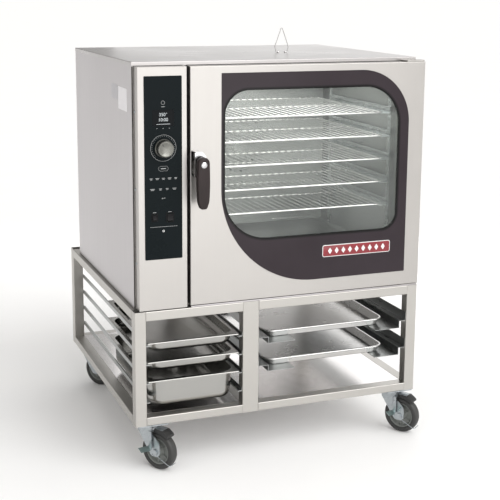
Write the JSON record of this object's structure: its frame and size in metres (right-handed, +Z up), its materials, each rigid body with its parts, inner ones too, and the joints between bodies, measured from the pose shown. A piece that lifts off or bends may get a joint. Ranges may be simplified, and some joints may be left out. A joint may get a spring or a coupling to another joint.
{
  "type": "combi steamer oven",
  "caption": "Combination steam and convection oven with a glazed swing door, control column and lever handle, on a wheeled stand that stores pans",
  "frame": {"origin": "on the floor, in the middle of the footprint", "axes": "+X to the right as seen from the front, +Y to the back, +Z up; the door faces -Y"},
  "size_m": [1.0412, 1.0184, 1.4284],
  "materials": {
    "stand_steel": "satin stainless tube and sheet",
    "slide_steel": "folded stainless sheet",
    "zinc_plate": "bright zinc plating",
    "caster_rubber": "moulded dark grey rubber",
    "brake_steel": "black coated brake parts",
    "body_steel": "satin stainless sheet",
    "cavity_steel": "heat-dulled stainless sheet",
    "rack_wire": "bright plated wire",
    "gasket_rubber": "black silicone",
    "motor_paint": "dark grey enamel",
    "heater_sheath": "oxidised heater sheath",
    "lamp_glass": "frosted lamp lens",
    "overlay_print": "dark printed overlay",
    "display_glass": "dark display glass",
    "circuit_board": "green board",
    "knob_metal": "turned and brushed",
    "bracket_steel": "satin stainless plate",
    "printed_glass": "dark printed border round a clear window",
    "clear_glass": "clear heat-proof glass",
    "handle_chrome": "polished chrome",
    "lever_plastic": "dark brown moulded plastic",
    "rocker_plastic": "black moulded plastic",
    "hanger_wire": "drawn steel wire",
    "pan_steel": "deep-drawn stainless, polished",
    "pan_aluminium": "pressed aluminium",
    "fitting_metal": "machined pipe fittings"
  },
  "bodies": {
    "oven": {"stand_frame": "stand_steel", "stand_shelf": "stand_steel", "hotel_pan_slides": "slide_steel", "sheet_pan_slides": "slide_steel", "caster_plates": "zinc_plate", "left_side_panel": "body_steel", "right_side_panel": "body_steel", "top_panel": "body_steel", "back_panel": "body_steel", "base_pan": "body_steel", "front_frame": "body_steel", "cavity_liner": "cavity_steel", "door_gasket": "gasket_rubber", "rack_guides": "cavity_steel", "fan_baffle": "cavity_steel", "fan_motor": "motor_paint", "heating_element": "heater_sheath", "steam_generator": "cavity_steel", "cavity_lamp": "lamp_glass", "control_cover": "body_steel", "control_overlay": "overlay_print", "display_module": "display_glass", "cover_screws": "zinc_plate", "control_board": "circuit_board", "hinge_brackets": "bracket_steel", "latch_keeper": "bracket_steel", "rear_fittings": "fitting_metal", "wire_rack_1": "rack_wire", "wire_rack_2": "rack_wire", "wire_rack_3": "rack_wire", "wire_rack_4": "rack_wire", "wire_rack_5": "rack_wire"},
    "door": {"door_skin": "body_steel", "door_liner": "cavity_steel", "door_outer_glass": "printed_glass", "door_inner_glass": "clear_glass", "handle_bracket": "handle_chrome"},
    "handle": {"handle_lever": "lever_plastic"},
    "latch": {"latch_cam": "zinc_plate"},
    "encoder": {"knob_shaft": "zinc_plate"},
    "knob": {"control_knob": "knob_metal"},
    "timer_switch": {"timer_rocker": "rocker_plastic"},
    "power_switch": {"power_rocker": "rocker_plastic"},
    "fan": {"convection_fan": "cavity_steel"},
    "hanger": {"wire_bail": "hanger_wire"},
    "food_pan_1": {"hotel_pan_1": "pan_steel"},
    "food_pan_2": {"hotel_pan_2": "pan_steel"},
    "food_pan_3": {"hotel_pan_3": "pan_steel"},
    "baking_pan_1": {"sheet_pan_1": "pan_aluminium"},
    "baking_pan_2": {"sheet_pan_2": "pan_aluminium"},
    "fork_front_left": {"caster_fork_front_left": "zinc_plate"},
    "wheel_front_left": {"caster_wheel_front_left": "caster_rubber"},
    "brake_front_left": {"caster_brake_front_left": "brake_steel"},
    "fork_front_right": {"caster_fork_front_right": "zinc_plate"},
    "wheel_front_right": {"caster_wheel_front_right": "caster_rubber"},
    "brake_front_right": {"caster_brake_front_right": "brake_steel"},
    "fork_rear_left": {"caster_fork_rear_left": "zinc_plate"},
    "wheel_rear_left": {"caster_wheel_rear_left": "caster_rubber"},
    "fork_rear_right": {"caster_fork_rear_right": "zinc_plate"},
    "wheel_rear_right": {"caster_wheel_rear_right": "caster_rubber"}
  },
  "joints": [
    {"name": "door_swing", "type": "hinge", "parent": "oven", "child": "door", "pos_m": [0.49741, -0.43275, 0.94], "axis": [0, 0, 1], "range_deg": [0, 120]},
    {"name": "handle_turn", "type": "hinge", "parent": "door", "child": "handle", "pos_m": [-0.30859, -0.48075, 1.024], "axis": [0, -1, 0], "range_deg": [0, 90]},
    {"name": "latch_turn", "type": "hinge", "parent": "door", "child": "latch", "pos_m": [-0.32259, -0.41075, 1.024], "axis": [0, -1, 0], "range_deg": [0, 45]},
    {"name": "knob_push", "type": "slide", "parent": "oven", "child": "encoder", "axis": [0, 1, 0], "range_m": [0, 0.0015], "stiffness_N_per_m": 900, "springref_m": -0.002},
    {"name": "knob_turn", "type": "hinge", "parent": "encoder", "child": "knob", "pos_m": [-0.42059, -0.45075, 1.074], "axis": [0, 1, 0], "continuous": true},
    {"name": "timer_rocker_tip", "type": "hinge", "parent": "oven", "child": "timer_switch", "pos_m": [-0.45059, -0.43475, 0.853], "axis": [1, 0, 0], "range_deg": [0, 16]},
    {"name": "power_rocker_tip", "type": "hinge", "parent": "oven", "child": "power_switch", "pos_m": [-0.40059, -0.43475, 0.851], "axis": [1, 0, 0], "range_deg": [0, 16]},
    {"name": "fan_spin", "type": "hinge", "parent": "oven", "child": "fan", "pos_m": [0.06241, 0.25925, 0.982], "axis": [0, 1, 0], "continuous": true},
    {"name": "hanger_fold", "type": "hinge", "parent": "oven", "child": "hanger", "pos_m": [0.13441, -0.06075, 1.343], "axis": [-1, 0, 0], "range_deg": [0, 85]},
    {"name": "food_pan_1_slide", "type": "slide", "parent": "oven", "child": "food_pan_1", "axis": [0, -1, 0], "range_m": [0, 0.45]},
    {"name": "food_pan_2_slide", "type": "slide", "parent": "oven", "child": "food_pan_2", "axis": [0, -1, 0], "range_m": [0, 0.45]},
    {"name": "food_pan_3_slide", "type": "slide", "parent": "oven", "child": "food_pan_3", "axis": [0, -1, 0], "range_m": [0, 0.45]},
    {"name": "baking_pan_1_slide", "type": "slide", "parent": "oven", "child": "baking_pan_1", "axis": [0, -1, 0], "range_m": [0, 0.58]},
    {"name": "baking_pan_2_slide", "type": "slide", "parent": "oven", "child": "baking_pan_2", "axis": [0, -1, 0], "range_m": [0, 0.58]},
    {"name": "swivel_front_left", "type": "hinge", "parent": "oven", "child": "fork_front_left", "pos_m": [-0.45859, -0.38375, 0.15], "axis": [0, 0, 1], "continuous": true},
    {"name": "roll_front_left", "type": "hinge", "parent": "fork_front_left", "child": "wheel_front_left", "pos_m": [-0.4339, -0.41773, 0.0635], "axis": [0.809, 0.5878, 0], "continuous": true},
    {"name": "brake_front_left_lift", "type": "hinge", "parent": "fork_front_left", "child": "brake_front_left", "pos_m": [-0.45389, -0.39022, 0.135], "axis": [-0.809, -0.5878, 0], "range_deg": [0, 10]},
    {"name": "swivel_front_right", "type": "hinge", "parent": "oven", "child": "fork_front_right", "pos_m": [0.44841, -0.38375, 0.15], "axis": [0, 0, 1], "continuous": true},
    {"name": "roll_front_right", "type": "hinge", "parent": "fork_front_right", "child": "wheel_front_right", "pos_m": [0.4731, -0.41773, 0.0635], "axis": [0.809, 0.5878, 0], "continuous": true},
    {"name": "brake_front_right_lift", "type": "hinge", "parent": "fork_front_right", "child": "brake_front_right", "pos_m": [0.45311, -0.39022, 0.135], "axis": [-0.809, -0.5878, 0], "range_deg": [0, 10]},
    {"name": "swivel_rear_left", "type": "hinge", "parent": "oven", "child": "fork_rear_left", "pos_m": [-0.45859, 0.45225, 0.15], "axis": [0, 0, 1], "continuous": true},
    {"name": "roll_rear_left", "type": "hinge", "parent": "fork_rear_left", "child": "wheel_rear_left", "pos_m": [-0.4339, 0.41827, 0.0635], "axis": [0.809, 0.5878, 0], "continuous": true},
    {"name": "swivel_rear_right", "type": "hinge", "parent": "oven", "child": "fork_rear_right", "pos_m": [0.44841, 0.45225, 0.15], "axis": [0, 0, 1], "continuous": true},
    {"name": "roll_rear_right", "type": "hinge", "parent": "fork_rear_right", "child": "wheel_rear_right", "pos_m": [0.4731, 0.41827, 0.0635], "axis": [0.809, 0.5878, 0], "continuous": true}
  ],
  "couplings": [
    {"joint": "latch_turn", "follows": "handle_turn", "ratio": 0.5}
  ]
}
